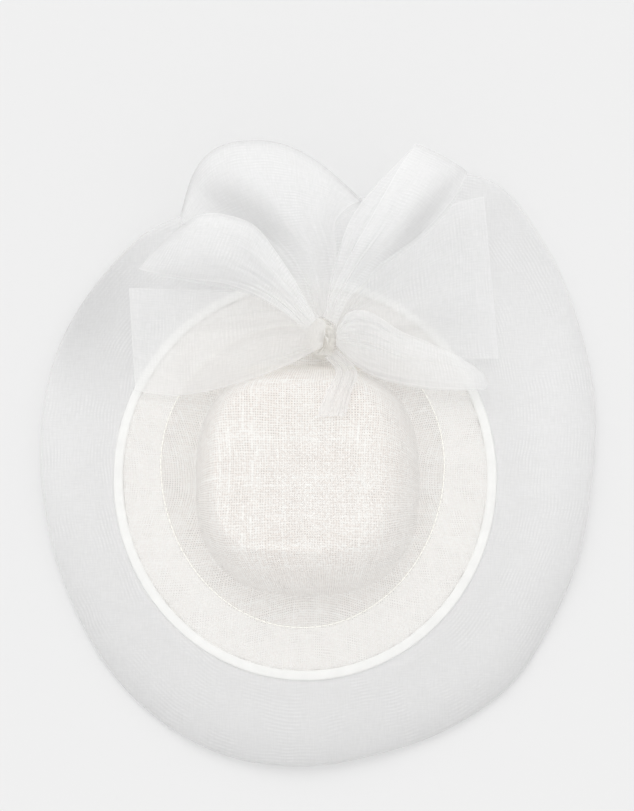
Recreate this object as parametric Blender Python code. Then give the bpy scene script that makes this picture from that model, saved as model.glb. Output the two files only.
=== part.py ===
"""Fascinator: a blocked sinamay crown and brim, a bound edge, a wide doubled organza brim, an organza bow and a comb.

Metres, +Z up. The pieces are modelled about the crown's axis, with the bow at +Y. They all hang from one empty, which
puts the middle of the floor that the hat covers at the world's origin, with the floor at z = 0.
"""

from collections import namedtuple

import bpy
import numpy as np
from mathutils.bvhtree import BVHTree

# Driving sizes
GAP = 0.0003
SINAMAY = 0.0012
BINDING = 0.0010
BINDING_WIDTH = 0.0060
ORGANZA = 0.0010

CROWN_HEIGHT = 0.044
BRIM_FALL = 0.0055
SHEER_FALL = 0.0125
EDGE_LENGTH = 0.245
EDGE_WIDTH = 0.230
CROWN_LENGTH = 0.141
CROWN_WIDTH = 0.135
TIP_LENGTH = 0.104
TIP_WIDTH = 0.104
STITCH_LENGTH = 0.184
STITCH_WIDTH = 0.170

SHEER_REACH = 0.175
RIM_WAVE = 0.005
RIM_FOLD = 0.0020
SEAM_SPACE = 0.0008

KNOT_LENGTH = 0.026
KNOT_WIDTH = 0.018
KNOT_HEIGHT = 0.019
KNOT_CREASE = 0.0004
KNOT_ASIDE = 0.010
BOW_REACH = 0.100
BOW_RISE = CROWN_HEIGHT - 0.004
BOW_PUFF = 0.012
GATHER = 0.0045
GATHER_SPACE = 0.002
# How far up the knot a ribbon leaves it, as a share of half its height
LEVEL_LOW = -0.30
LEVEL_MIDDLE = 0.10
LEVEL_HIGH = 0.45
LEVEL_TOP = 0.55

COMB_LENGTH = 0.070
COMB_DEPTH = 0.005
COMB_THICK = 0.0018
TOOTH_LENGTH = 0.034
TOOTH_WIDTH = 0.0018
TEETH = 14

# Points round the hat, along a loop's leaf, along a tail and across a ribbon
AROUND = 56
LEAF_ROWS = 7
TAIL_ROWS = 9
ACROSS = 9

# Ovals seen from above: half sizes to the side, to the back and to the front, the middle, and the squareness (2 is
# an ellipse)
Oval = namedtuple("Oval", "side back front x y power")
TIP = Oval(TIP_WIDTH / 2, TIP_LENGTH / 2, TIP_LENGTH / 2, -0.0025, -0.002, 3.2)
CROWN = Oval(CROWN_WIDTH / 2, CROWN_LENGTH / 2, CROWN_LENGTH / 2, 0.0015, -0.0025, 2.6)
BOUND = Oval(EDGE_WIDTH / 2, EDGE_LENGTH / 2, EDGE_LENGTH / 2, 0, 0, 2)
STITCH = Oval(STITCH_WIDTH / 2, 0.46 * STITCH_LENGTH, 0.54 * STITCH_LENGTH, -0.0015, 0.008, 2)

# The blocked base from the middle of the tip to the brim's edge. out: share of the way between the two ovals. up:
# share of the crown's height, or on the brim the share of its fall
Ring = namedtuple("Ring", "out up")
TIP_RINGS = (Ring(0.32, 1.000), Ring(0.62, 0.988), Ring(0.84, 0.955), Ring(0.96, 0.915))
WALL_RINGS = (
    Ring(0.00, 0.88),
    Ring(0.24, 0.78),
    Ring(0.48, 0.61),
    Ring(0.72, 0.36),
    Ring(0.90, 0.12),
    Ring(1.00, 0.00),
)
BRIM_RINGS = (Ring(0.15, 0.02), Ring(0.40, 0.18), Ring(0.70, 0.52), Ring(1.00, 1.00))

# The sheer brim's rim every 15 degrees round from +X. reach: share of SHEER_REACH. lift: share of RIM_WAVE
Rim = namedtuple("Rim", "reach lift")
RIM = (
    Rim(0.99, 0.6),
    Rim(1.04, 0.3),
    Rim(1.10, 0.0),
    Rim(1.18, 0.0),
    Rim(1.24, 0.1),
    Rim(1.05, 0.6),
    Rim(0.97, 1.0),
    Rim(1.00, 0.6),
    Rim(1.04, 0.1),
    Rim(1.01, 0.0),
    Rim(0.98, 0.3),
    Rim(0.94, 0.8),
    Rim(0.91, 0.9),
    Rim(0.90, 0.5),
    Rim(0.91, 0.1),
    Rim(0.94, 0.0),
    Rim(0.97, 0.1),
    Rim(0.99, 0.4),
    Rim(0.99, 0.7),
    Rim(0.98, 0.5),
    Rim(0.99, 0.1),
    Rim(1.00, 0.0),
    Rim(0.98, 0.1),
    Rim(0.98, 0.5),
)
# The sheer brim's two layers from the bound edge to the rim. out: share of the way. fall: share of the drop
Fall = namedtuple("Fall", "out fall space")
FALLS = (Fall(0.30, 0.26, 0.55), Fall(0.62, 0.62, 0.90), Fall(0.86, 0.90, 1.00))

# A ribbon's sections from the knot outwards. left and right: bearing in degrees and reach as a share of BOW_REACH of
# the ribbon's two edges, seen along it. rise: share of BOW_RISE above the knot's middle. puff: half the space between
# a loop's two leaves, share of BOW_PUFF. arch and lead: how much the middle stands above and ahead of the edges, shares
# of BOW_RISE and BOW_REACH. slip: how far the under leaf's left edge spreads past the upper one's, share of BOW_REACH
Section = namedtuple(
    "Section", "left left_reach left_rise right right_reach right_rise puff arch lead slip"
)
LOOP_UPPER_LEFT = (
    Section(129, 0.52, 0.15, 78, 0.42, 0.30, 0.50, 0.12, 0.00, 0.00),
    Section(138, 0.87, 0.20, 83, 0.67, 0.50, 0.90, 0.25, 0.06, 0.00),
    Section(141, 1.07, 0.25, 75, 0.79, 0.55, 0.80, 0.35, 0.24, 0.00),
    Section(138, 1.13, 0.30, 73, 0.83, 0.55, 0.35, 0.35, 0.40, 0.00),
)
LOOP_LEFT = (
    Section(148, 0.36, 0.35, 119, 0.42, 0.60, 0.40, 0.05, 0.00, 0.00),
    Section(153, 0.64, 0.35, 124, 0.75, 0.75, 0.75, 0.15, 0.00, 0.00),
    Section(158, 0.92, 0.20, 135, 0.98, 0.60, 0.60, 0.15, 0.00, 0.00),
    Section(159, 1.18, 0.00, 141, 1.05, 0.35, 0.25, 0.05, 0.01, 0.00),
)
TAIL_LEFT = (
    Section(222, 0.34, 0.55, 128, 0.36, -0.05, 0, 0.05, 0.00, 0.00),
    Section(209, 0.67, 0.35, 153, 0.66, -0.12, 0, 0.08, 0.00, 0.00),
    Section(201, 0.95, -0.10, 160, 0.94, -0.17, 0, 0.05, 0.00, 0.00),
    Section(195, 1.16, -0.20, 164, 1.21, -0.23, 0, 0.00, 0.00, 0.00),
)
LOOP_UPPER_RIGHT = (
    Section(74, 0.33, 0.45, 54, 0.39, 0.30, 0.40, 0.05, 0.00, 0.04),
    Section(66, 0.69, 0.85, 45, 0.80, 0.50, 0.75, 0.15, 0.00, 0.12),
    Section(64, 1.02, 1.10, 45, 1.10, 0.65, 0.65, 0.15, 0.01, 0.05),
    Section(63, 1.23, 1.10, 48, 1.30, 0.65, 0.30, 0.06, 0.01, 0.00),
)
TAIL_RIGHT = (
    Section(60, 0.45, -0.10, -15, 0.27, -0.05, 0, 0.05, 0.00, 0.00),
    Section(52, 0.84, -0.15, -10, 0.57, -0.12, 0, 0.08, 0.00, 0.00),
    Section(47, 1.18, -0.35, -7, 0.85, -0.20, 0, 0.05, 0.00, 0.00),
    Section(43, 1.35, -0.50, -5, 1.07, -0.32, 0, 0.02, 0.00, 0.00),
)
LOOP_LOWER_RIGHT = (
    Section(38, 0.27, 0.30, -41, 0.32, 0.25, 0.20, 0.08, 0.00, 0.00),
    Section(2, 0.48, 0.30, -31, 0.55, 0.15, 0.30, 0.10, 0.00, 0.00),
    Section(-5, 0.70, 0.15, -23, 0.80, 0.05, 0.28, 0.08, 0.00, 0.00),
    Section(-10, 0.93, 0.00, -17, 1.03, -0.05, 0.18, 0.02, 0.03, 0.00),
)
TAIL_SMALL = (
    Section(-49, 0.32, 0.65, -72, 0.26, 0.65, 0, 0.02, 0.00, 0.00),
    Section(-66, 0.43, 0.90, -87, 0.40, 0.90, 0, 0.03, 0.00, 0.00),
    Section(-75, 0.55, 0.92, -94, 0.54, 0.92, 0, 0.02, 0.00, 0.00),
)

# Heights that follow from the driving sizes
EDGE_Z = SHEER_FALL + RIM_FOLD * 2 + ORGANZA
ROOT_Z = EDGE_Z + BRIM_FALL
BEARINGS = np.linspace(0, 2 * np.pi, AROUND, endpoint=False)


def oval(shape, bearings=BEARINGS, inset=0.0):
    """Points of an oval at these bearings from its own middle, at height 0."""
    c, s = np.cos(bearings), np.sin(bearings)
    length = np.where(s > 0, shape.back, shape.front) - inset
    side = shape.side - inset
    reach = (np.abs(c / side) ** shape.power + np.abs(s / length) ** shape.power) ** (-1 / shape.power)
    return np.stack([shape.x + reach * c, shape.y + reach * s, 0 * c], -1)


def between(inner, outer, out, height):
    ring = inner + (outer - inner) * out
    ring[:, 2] = height
    return ring


def normals(grid, round_trip):
    """Unit normals of a grid of points, rows first. round_trip says that each row closes on itself."""
    along = np.gradient(grid, axis=0)
    across = (np.roll(grid, -1, 1) - np.roll(grid, 1, 1)) / 2 if round_trip else np.gradient(grid, axis=1)
    n = np.cross(along, across)
    return n / np.maximum(np.linalg.norm(n, axis=-1, keepdims=True), 1e-12)


def sheet_faces(rows, columns, round_trip, start):
    """Quads of a grid whose points are numbered row by row from start."""
    faces = []
    for i in range(rows - 1):
        for j in range(columns if round_trip else columns - 1):
            k = (j + 1) % columns
            faces.append((start + i * columns + j, start + (i + 1) * columns + j,
                          start + (i + 1) * columns + k, start + i * columns + k))
    return faces


def thick_sheet(grid, thickness, round_trip=False, pole=None):
    """Points and faces of the solid that is thickness/2 to either side of a grid of points.

    pole: the point that closes the first row, for a round sheet with no hole in its middle."""
    rows, columns = grid.shape[:2]
    offset = normals(grid, round_trip) * thickness / 2
    count = rows * columns
    points = [(grid + offset).reshape(-1, 3), (grid - offset).reshape(-1, 3)]
    faces = sheet_faces(rows, columns, round_trip, 0)
    faces += [face[::-1] for face in sheet_faces(rows, columns, round_trip, count)]
    last = (rows - 1) * columns
    for j in range(columns if round_trip else columns - 1):
        k = (j + 1) % columns
        faces.append((last + j, count + last + j, count + last + k, last + k))
        if pole is None:
            faces.append((k, count + k, count + j, j))
        else:
            faces.append((2 * count, j, k))
            faces.append((2 * count + 1, count + k, count + j))
    if pole is not None:
        up = np.array([0, 0, thickness / 2])
        sign = np.sign(offset[0, 0, 2])
        points.append(np.array([pole + sign * up, pole - sign * up]))
    if not round_trip:
        for i in range(rows - 1):
            a, b = i * columns, (i + 1) * columns
            faces.append((a, count + a, count + b, b))
            faces.append((b + columns - 1, count + b + columns - 1, count + a + columns - 1, a + columns - 1))
    return np.concatenate(points), faces


def piece(name, points, faces, colour, roughness, alpha=1.0):
    """A named object with its own material, its faces turned outwards."""
    mesh = bpy.data.meshes.new(name)
    mesh.from_pydata([tuple(p) for p in points], [], faces)
    mesh.shade_smooth()
    solid = sum(
        np.dot(points[f[0]], np.cross(points[f[i]], points[f[i + 1]])) for f in faces for i in range(1, len(f) - 1)
    )
    if solid < 0:
        mesh.flip_normals()
    material = bpy.data.materials.new(name)
    material.use_nodes = True
    shader = material.node_tree.nodes["Principled BSDF"]
    shader.inputs["Base Color"].default_value = (*colour, 1)
    shader.inputs["Roughness"].default_value = roughness
    shader.inputs["Metallic"].default_value = 0
    shader.inputs["Alpha"].default_value = alpha
    mesh.materials.append(material)
    made = bpy.data.objects.new(name, mesh)
    bpy.context.scene.collection.objects.link(made)
    return made


SINAMAY_COLOUR = (0.84, 0.81, 0.76)
BINDING_COLOUR = (0.90, 0.90, 0.88)
ORGANZA_COLOUR = (0.85, 0.86, 0.86)
COMB_COLOUR = (0.80, 0.79, 0.76)


def sinamay_rings():
    """Mid surface of the blocked base, a row of points for each ring, and the middle of its tip."""
    tip, crown = oval(TIP), oval(CROWN)
    edge = oval(BOUND, inset=BINDING + GAP)
    middle = np.array([TIP.x, TIP.y, ROOT_Z + CROWN_HEIGHT])
    rings = [between(middle, tip, r.out, ROOT_Z + CROWN_HEIGHT * r.up) for r in TIP_RINGS]
    rings += [between(tip, crown, r.out, ROOT_Z + CROWN_HEIGHT * r.up) for r in WALL_RINGS]
    rings += [between(crown, edge, r.out, ROOT_Z - BRIM_FALL * r.up) for r in BRIM_RINGS]
    return np.array(rings), middle


def brim_height(points):
    """Height of the sinamay brim's mid surface at these points."""
    bearings = np.arctan2(points[..., 1], points[..., 0])
    root = np.linalg.norm(oval(CROWN, bearings)[..., :2], axis=-1)
    edge = np.linalg.norm(oval(BOUND, bearings, BINDING + GAP)[..., :2], axis=-1)
    out = (np.linalg.norm(points[..., :2], axis=-1) - root) / (edge - root)
    fall = np.interp(out, [0] + [r.out for r in BRIM_RINGS], [0] + [r.up for r in BRIM_RINGS])
    return ROOT_Z - BRIM_FALL * fall


def make_base():
    rings, top = sinamay_rings()
    return piece("sinamay_base", *thick_sheet(rings, SINAMAY, True, top), SINAMAY_COLOUR, 0.75)


def make_binding():
    """Tape folded round the brim's edge: a U-shaped section carried round it, square to the brim."""
    rings = sinamay_rings()[0]
    edge = rings[-1]
    out = edge - rings[-2]
    out /= np.linalg.norm(out, axis=1, keepdims=True)
    up = np.cross(out, np.roll(edge, -1, 0) - np.roll(edge, 1, 0))
    up /= np.linalg.norm(up, axis=1, keepdims=True)
    inside = SINAMAY / 2 + GAP
    outside = inside + BINDING
    back = BINDING + GAP - BINDING_WIDTH
    section = (
        (back, inside), (back, outside), (0, outside), (GAP + 0.7 * BINDING, 0.6 * outside),
        (GAP + BINDING, 0), (GAP + 0.7 * BINDING, -0.6 * outside), (0, -outside), (back, -outside),
        (back, -inside), (GAP, -inside), (GAP, inside),
    )
    points = np.concatenate([edge + out * x + up * y for x, y in section])
    count = len(section)
    faces = []
    for i in range(count):
        for j in range(AROUND):
            a, b, k = i * AROUND, (i + 1) % count * AROUND, (j + 1) % AROUND
            faces.append((a + j, b + j, b + k, a + k))
    return piece("brim_binding", points, faces, BINDING_COLOUR, 0.65)


def rim_line():
    """Reach and lift of the sheer brim's rim at each bearing, a smooth closed curve through the RIM rows."""
    keys = np.array(RIM)
    place = BEARINGS / (2 * np.pi) * len(keys)
    i = np.floor(place).astype(int)
    t = (place - i)[:, None]
    a, b, c, d = (keys[(i + n) % len(keys)] for n in (-1, 0, 1, 2))
    value = b + 0.5 * t * (c - a + t * (2 * a - 5 * b + 4 * c - d + t * (3 * (b - c) + d - a)))
    return value[:, 0] * SHEER_REACH, np.maximum(value[:, 1], 0) * RIM_WAVE


def make_sheer_brim():
    """Two layers of organza from the stitch line to a soft fold at the rim, open at the stitch line."""
    reach, lift = rim_line()
    around = np.stack([np.cos(BEARINGS), np.sin(BEARINGS), 0 * BEARINGS], -1)
    rim = around * (reach - ORGANZA / 2 - RIM_FOLD)[:, None]
    under = SINAMAY / 2 + GAP + ORGANZA / 2
    top_in = oval(STITCH)
    top_in[:, 2] = brim_height(top_in) - under
    tape = oval(BOUND, inset=BINDING_WIDTH + 2 * GAP)
    tape[:, 2] = brim_height(tape) - under - BINDING - 2 * GAP
    bound = oval(BOUND)
    bound[:, 2] = EDGE_Z - under - BINDING - 4 * GAP
    seam = SEAM_SPACE + ORGANZA
    rim_z = lift + RIM_FOLD + ORGANZA / 2
    rows = [(top_in, seam), (tape, seam), (bound, seam)]
    for f in FALLS:
        ring = bound + (rim - bound) * f.out
        ring[:, 2] = bound[:, 2] + (rim_z + RIM_FOLD - bound[:, 2]) * f.fall
        rows.append((ring, seam + (2 * RIM_FOLD - seam) * f.space))
    over = [ring for ring, space in rows]
    below = [ring - [0, 0, space] for ring, space in (rows[0], rows[2], rows[4], rows[5])]
    fold = []
    for turn in np.radians((90, 45, 0, -45, -90)):
        ring = rim + around * RIM_FOLD * np.cos(turn)
        ring[:, 2] = rim_z + RIM_FOLD * np.sin(turn)
        fold.append(ring)
    grid = np.array(over + fold + below[::-1])
    return piece("sheer_brim", *thick_sheet(grid, ORGANZA, True), ORGANZA_COLOUR, 0.55, 0.5)


def knot_middle():
    y = CROWN.y + CROWN.back + KNOT_LENGTH / 2 + 2 * GAP
    foot = np.array([[KNOT_ASIDE, y - KNOT_LENGTH / 8, 0]])
    return np.array([KNOT_ASIDE, y, brim_height(foot)[0] + SINAMAY / 2 + GAP + KNOT_HEIGHT / 2])


def make_knot():
    """Crumpled lump: an egg with shallow creases round it, sitting on the brim."""
    rows, columns = 9, 16
    points = []
    for i in range(1, rows):
        tilt = np.pi * i / rows
        for j in range(columns):
            turn = 2 * np.pi * j / columns
            crease = KNOT_CREASE / 2 * (1 + np.cos(5 * turn + 2 * tilt))
            points.append((
                (KNOT_WIDTH / 2 - crease) * np.sin(tilt) * np.cos(turn),
                (KNOT_LENGTH / 2 - crease) * np.sin(tilt) * np.sin(turn),
                KNOT_HEIGHT / 2 * np.cos(tilt),
            ))
    points += [(0, 0, KNOT_HEIGHT / 2), (0, 0, -KNOT_HEIGHT / 2)]
    faces = sheet_faces(rows - 1, columns, True, 0)
    last, top = (rows - 2) * columns, (rows - 1) * columns
    for j in range(columns):
        k = (j + 1) % columns
        faces.append((top, j, k))
        faces.append((top + 1, last + k, last + j))
    return piece("knot", np.array(points) + knot_middle(), faces, ORGANZA_COLOUR, 0.55, 0.7)


def eased(rows, at):
    """Values of a table's rows at shares 0 to 1 along it, on a smooth curve through the rows."""
    place = np.clip(np.asarray(at) * (len(rows) - 1), 0, len(rows) - 1 - 1e-9)
    i = place.astype(int)
    t = (place - i)[:, None]
    b, c = rows[i], rows[i + 1]
    a = rows[np.maximum(i - 1, 0)]
    d = rows[np.minimum(i + 2, len(rows) - 1)]
    return b + 0.5 * t * (c - a + t * (2 * a - 5 * b + 4 * c - d + t * (3 * (b - c) + d - a)))


def ribbon_grid(table, level, loop):
    """Mid surface of a ribbon gathered at the knot, rows along it. A loop runs out on its under leaf and back above."""
    bearing = np.radians((table[0].left + table[0].right) / 2)
    ahead = np.array([np.cos(bearing), np.sin(bearing), 0])
    aside = np.array([-ahead[1], ahead[0], 0])
    half = np.array([KNOT_WIDTH, KNOT_LENGTH, KNOT_HEIGHT]) / 2 + GAP + ORGANZA / 2
    lift = level * half[2]
    start = np.sqrt(1 - level**2) / np.linalg.norm(ahead / half)
    rows = [[*(ahead * start + aside * GATHER + [0, 0, lift]), *(ahead * start - aside * GATHER + [0, 0, lift]),
             GATHER_SPACE / 2 + ORGANZA, 0, 0, 0]]
    for s in table:
        edges = []
        for bearing, reach, rise in (
            (s.left, s.left_reach, s.left_rise),
            (s.right, s.right_reach, s.right_rise),
        ):
            turn = np.radians(bearing)
            edges += [np.cos(turn) * reach * BOW_REACH, np.sin(turn) * reach * BOW_REACH, rise * BOW_RISE]
        rows.append([*edges, s.puff * BOW_PUFF, s.arch * BOW_RISE, s.lead * BOW_REACH, s.slip * BOW_REACH])
    rows = np.array(rows)
    if loop:
        bend = rows[-1, 6] / np.linalg.norm((rows[-1, :3] + rows[-1, 3:6]) / 2)
        out = np.linspace(0, 1 - bend, LEAF_ROWS)
        turns = np.radians((-60, -30, 0, 30, 60))
        at = np.concatenate([out, 1 - bend + bend * np.cos(turns), out[::-1]])
        side = np.concatenate([-np.ones(LEAF_ROWS), np.sin(turns), np.ones(LEAF_ROWS)])
    else:
        at = np.linspace(0, 1, TAIL_ROWS)
        side = np.zeros(TAIL_ROWS)
    values = eased(rows, at)
    share = np.linspace(0, 1, ACROSS)[None, :, None]
    left, right = values[:, None, :3], values[:, None, 3:6]
    outwards = (left + right) / 2 * [1, 1, 0]
    outwards /= np.linalg.norm(outwards, axis=-1, keepdims=True)
    square = np.stack([-outwards[..., 1], outwards[..., 0], outwards[..., 2]], -1)
    middle_lead = 1 - np.abs(2 * share - 1) ** 2.5
    grid = left * (1 - share) + right * share
    grid = grid + outwards * values[:, None, 8:9] * middle_lead
    grid = grid + [0, 0, 1] * values[:, None, 7:8] * middle_lead
    grid = grid + [0, 0, 1] * (values[:, 6] * side)[:, None, None]
    grid = grid + square * values[:, None, 9:10] * (1 - share) * (side < 0)[:, None, None]
    return grid + knot_middle()


def rest_clear(grid, carriers):
    """Lifts a ribbon a little at a time, its surroundings with it, until it clears what lies under it."""
    trees = [
        BVHTree.FromPolygons([v.co for v in o.data.vertices], [p.vertices for p in o.data.polygons])
        for o in carriers
    ]
    rows, columns = grid.shape[:2]
    step = GAP / 2
    raised = np.zeros((rows, columns))
    for _ in range(400):
        now = grid + [0, 0, 1] * raised[..., None]
        points, faces = thick_sheet(now, ORGANZA + 3 * GAP)
        own = BVHTree.FromPolygons([tuple(p) for p in points], faces)
        hit = np.zeros((rows, columns), bool)
        for tree in trees:
            for face, other in own.overlap(tree):
                for index in faces[face]:
                    hit[divmod(index % (rows * columns), columns)] = True
        if not hit.any():
            break
        raised[hit] += step
        wide = np.pad(raised, 1, mode="edge") - 4 * step
        for near in (wide[:-2, 1:-1], wide[2:, 1:-1], wide[1:-1, :-2], wide[1:-1, 2:]):
            raised = np.maximum(raised, near)
    return now


def make_ribbon(name, table, level, loop, carriers):
    grid = rest_clear(ribbon_grid(table, level, loop), carriers)
    return piece(name, *thick_sheet(grid, ORGANZA), ORGANZA_COLOUR, 0.5, 0.5)


def make_comb():
    """A straight bar under the back of the crown's mouth, with its teeth towards the front."""
    pitch = (COMB_LENGTH - TOOTH_WIDTH) / (TEETH - 1)
    back = CROWN.y + CROWN.back - GAP
    root = back - COMB_DEPTH
    tip = root - TOOTH_LENGTH
    outline = [(COMB_LENGTH / 2, back)]
    for i in range(TEETH):
        right = COMB_LENGTH / 2 - i * pitch
        outline += [(right, root), (right, tip + TOOTH_WIDTH / 2), (right - TOOTH_WIDTH / 4, tip)]
        outline += [(right - 3 * TOOTH_WIDTH / 4, tip), (right - TOOTH_WIDTH, tip + TOOTH_WIDTH / 2)]
        outline += [(right - TOOTH_WIDTH, root)]
    outline += [(-COMB_LENGTH / 2, back)]
    corner = np.array([[COMB_LENGTH / 2, back, 0], [-COMB_LENGTH / 2, back, 0]])
    top = brim_height(corner).min() - SINAMAY / 2 - GAP
    count = len(outline)
    points = np.array([(x, y, z) for z in (top, top - COMB_THICK) for x, y in outline])
    faces = [tuple(range(count)), tuple(range(2 * count - 1, count - 1, -1))]
    faces += [(i, count + i, count + (i + 1) % count, (i + 1) % count) for i in range(count)]
    return piece("comb", points, faces, COMB_COLOUR, 0.25)


def centre_on_origin(pieces):
    """Hangs every piece from one empty, placed so that the middle of the floor the hat covers is the origin."""
    corners = np.concatenate([[v.co[:2] for v in o.data.vertices] for o in pieces])
    middle = (corners.min(0) + corners.max(0)) / 2
    axis = bpy.data.objects.new("crown_axis", None)
    axis.location = (-middle[0], -middle[1], 0)
    bpy.context.scene.collection.objects.link(axis)
    for made in pieces:
        made.parent = axis


for old in list(bpy.data.objects):
    bpy.data.objects.remove(old)

base = make_base()
binding = make_binding()
sheer = make_sheer_brim()
knot = make_knot()
hat = [base, binding, sheer, knot]
tail_left = make_ribbon("tail_left", TAIL_LEFT, LEVEL_LOW, False, hat)
tail_right = make_ribbon("tail_right", TAIL_RIGHT, LEVEL_LOW, False, hat)
upper_left = make_ribbon("loop_upper_left", LOOP_UPPER_LEFT, LEVEL_MIDDLE, True, hat + [tail_left])
left = make_ribbon("loop_left", LOOP_LEFT, LEVEL_TOP, True, hat + [tail_left, upper_left])
upper_right = make_ribbon("loop_upper_right", LOOP_UPPER_RIGHT, LEVEL_HIGH, True, hat + [tail_right, upper_left])
lower_right = make_ribbon("loop_lower_right", LOOP_LOWER_RIGHT, LEVEL_HIGH, True, hat + [tail_right, upper_right])
small = make_ribbon("tail_small", TAIL_SMALL, LEVEL_HIGH, False, hat + [tail_left, tail_right, lower_right])
comb = make_comb()
centre_on_origin(hat + [tail_left, tail_right, upper_left, left, upper_right, lower_right, small, comb])
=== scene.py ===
import math
from functools import partial

import bpy
import numpy as np
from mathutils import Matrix, Vector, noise
from mathutils.bvhtree import BVHTree


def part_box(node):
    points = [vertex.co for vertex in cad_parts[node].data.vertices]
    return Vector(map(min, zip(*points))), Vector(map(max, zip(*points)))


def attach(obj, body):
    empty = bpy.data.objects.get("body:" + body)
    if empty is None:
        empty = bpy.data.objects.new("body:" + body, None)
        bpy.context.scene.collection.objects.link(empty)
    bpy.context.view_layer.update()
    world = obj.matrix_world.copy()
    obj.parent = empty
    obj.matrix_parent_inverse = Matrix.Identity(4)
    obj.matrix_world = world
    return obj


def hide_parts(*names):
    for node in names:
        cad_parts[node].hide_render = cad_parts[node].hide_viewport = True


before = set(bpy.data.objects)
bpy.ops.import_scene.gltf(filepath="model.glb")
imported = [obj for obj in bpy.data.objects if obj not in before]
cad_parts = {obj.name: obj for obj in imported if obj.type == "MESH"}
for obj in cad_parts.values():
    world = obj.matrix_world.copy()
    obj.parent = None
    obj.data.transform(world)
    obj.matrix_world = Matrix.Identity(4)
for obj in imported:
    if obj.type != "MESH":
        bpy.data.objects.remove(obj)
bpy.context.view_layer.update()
scene = bpy.context.scene
print("frame loaded")

# the shapes below are given about the middle of the bound brim, in metres, with the bow at +Y
bindingLow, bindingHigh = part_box("brim_binding")
hatMiddle = np.array([(bindingLow.x + bindingHigh.x) / 2, (bindingLow.y + bindingHigh.y) / 2, 0])
upwards = np.array([0, 0, 1])


def linear(colour):
    values = [int(colour[i:i + 2], 16) / 255 for i in (0, 2, 4)]
    return tuple(v / 12.92 if v <= 0.04045 else ((v + 0.055) / 1.055) ** 2.4 for v in values) + (1,)


def addNode(tree, kind, inputs=(), out=0, **settings):
    # adds a node, links or sets its inputs, by name or in their order, and gives one of its outputs
    node = tree.nodes.new("ShaderNode" + kind)
    for name, value in settings.items():
        setattr(node, name, value)
    for name, value in inputs.items() if isinstance(inputs, dict) else enumerate(inputs):
        if isinstance(value, bpy.types.NodeSocket):
            tree.links.new(value, node.inputs[name])
        else:
            node.inputs[name].default_value = value
    return node.outputs[out] if node.outputs else None


def emptyMaterial(name):
    material = bpy.data.materials.new(name)
    material.use_nodes = True
    material.node_tree.nodes.clear()
    return material, partial(addNode, material.node_tree)


def addPiece(name, points, faces, material):
    mesh = bpy.data.meshes.new(name)
    mesh.from_pydata(np.reshape(points, (-1, 3)).tolist(), [], faces)
    mesh.shade_smooth()
    mesh.materials.append(material)
    piece = bpy.data.objects.new(name, mesh)
    scene.collection.objects.link(piece)
    return piece


def surfaceMesh(name, grid, flat, material, marks, roundTrip=False, pole=False):
    # a grid of points, rows first, as one smooth sheet; flat: the same points on the uncut cloth, in metres;
    # marks: values for the material; pole: the first row is one point
    rows, columns = grid.shape[:2]
    faces = []
    for i in range(rows - 1):
        for j in range(columns if roundTrip else columns - 1):
            k = (j + 1) % columns
            a, b, c, d = i * columns + j, (i + 1) * columns + j, (i + 1) * columns + k, i * columns + k
            faces.append((0, b, c) if pole and i == 0 else (a, b, c, d))
    piece = addPiece(name, grid + hatMiddle, faces, material)
    mesh = piece.data
    corner = np.zeros(len(mesh.loops), np.int32)
    mesh.loops.foreach_get("vertex_index", corner)
    places = flat.reshape(-1, 2)[corner].ravel()
    mesh.uv_layers.new(name="flat").data.foreach_set("uv", places.astype(np.float32))
    for mark, values in marks.items():
        values = np.broadcast_to(values, (rows, columns)).ravel()
        mesh.attributes.new(mark, "FLOAT", "POINT").data.foreach_set("value", values.astype(np.float32))
    return piece


def allRound(count):
    return np.linspace(0, 2 * np.pi, count, endpoint=False)


def rod(points, faces, spine, sizes, sides):
    # adds a level rod along a spine, with its own half width and half height at each point
    first, last = len(points), len(points) + (len(spine) - 1) * sides
    way = np.array(spine[-1]) - spine[0]
    aside = np.cross(upwards, way / np.linalg.norm(way))
    for place, (half, high) in zip(spine, sizes):
        for turn in allRound(sides):
            points.append(place + aside * half * np.cos(turn) + upwards * high * np.sin(turn))
    for ring in range(first, last, sides):
        for k in range(sides):
            a, b = ring + k, ring + (k + 1) % sides
            faces.append((a, b, b + sides, a + sides))
    faces.append(tuple(range(first + sides - 1, first - 1, -1)))
    faces.append(tuple(range(last, last + sides)))


def areaOf(piece):
    return sum(p.area for p in piece.data.polygons)


def reachOf(points):
    # how far out points are, seen from above
    return np.linalg.norm(points[..., :2], axis=-1)


def placed(piece, node):
    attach(piece, "root")
    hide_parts(node)
    return piece


def eased(rows, at):
    # values at shares 0 to 1 along a table's rows, on a smooth curve through them
    rows = np.asarray(rows, float)
    place = np.clip(np.asarray(at, float) * (len(rows) - 1), 0, len(rows) - 1 - 1e-9)
    i = place.astype(int)
    t = (place - i).reshape((-1,) + (1,) * (rows.ndim - 1))
    b, c = rows[i], rows[i + 1]
    a, d = rows[np.maximum(i - 1, 0)], rows[np.minimum(i + 2, len(rows) - 1)]
    return b + 0.5 * t * (c - a + t * (2 * a - 5 * b + 4 * c - d + t * (3 * (b - c) + d - a)))


def finer(grid, rows, columns):
    grid = eased(grid, np.linspace(0, 1, rows))
    return eased(grid.transpose(1, 0, 2), np.linspace(0, 1, columns)).transpose(1, 0, 2)


def normalsOf(grid):
    n = np.cross(np.gradient(grid, axis=0), np.gradient(grid, axis=1))
    return n / np.maximum(np.linalg.norm(n, axis=-1, keepdims=True), 1e-12)


def softNoise(points, size, seed):
    # smooth noise of about -0.5 to 0.5 that changes over this size, in metres
    flatPoints = points.reshape(-1, 3) / size + seed * 17.31
    return np.array([noise.noise(Vector(p)) for p in flatPoints]).reshape(points.shape[:-1])


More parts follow.
